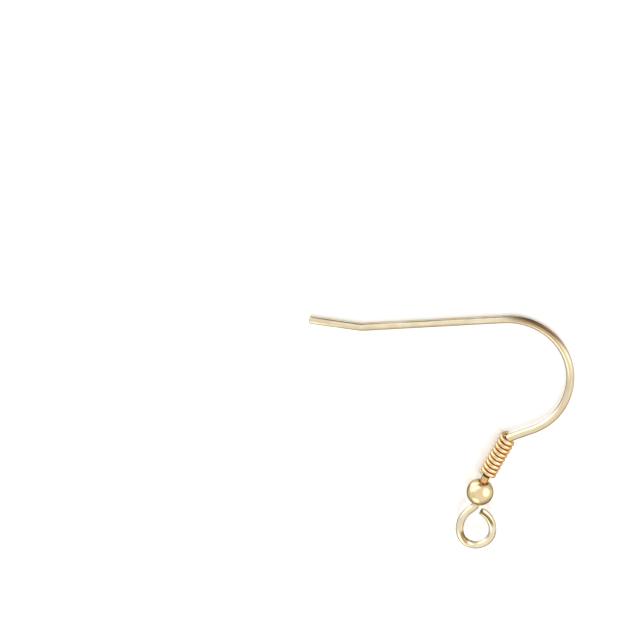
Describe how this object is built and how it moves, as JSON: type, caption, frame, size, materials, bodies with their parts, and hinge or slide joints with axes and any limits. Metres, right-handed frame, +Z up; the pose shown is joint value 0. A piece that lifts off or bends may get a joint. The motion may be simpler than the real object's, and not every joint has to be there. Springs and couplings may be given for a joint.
{
  "type": "ear wire",
  "caption": "Ear wire: round gold wire bent to a hook with a long, slightly kinked tail, carrying a closely wound wire coil and a round bead above an open eye.",
  "frame": {"origin": "on the surface the ear wire lies on, under the middle of its outline", "axes": "+Z up off the surface; +Y from the eye through the bead and coil to the bow; +X from the free tip of the tail to the side of the bow, coil and eye"},
  "size_m": [0.025, 0.0242, 0.0025],
  "materials": {
    "hook_wire": "polished pale gold plate, with fine drawing lines along the wire",
    "coil": "polished gold plate, a little redder than the wire",
    "bead": "mirror-polished pale gold plate"
  },
  "bodies": {
    "root": {"hook_wire": "hook_wire", "coil": "coil", "bead": "bead"}
  },
  "joints": []
}
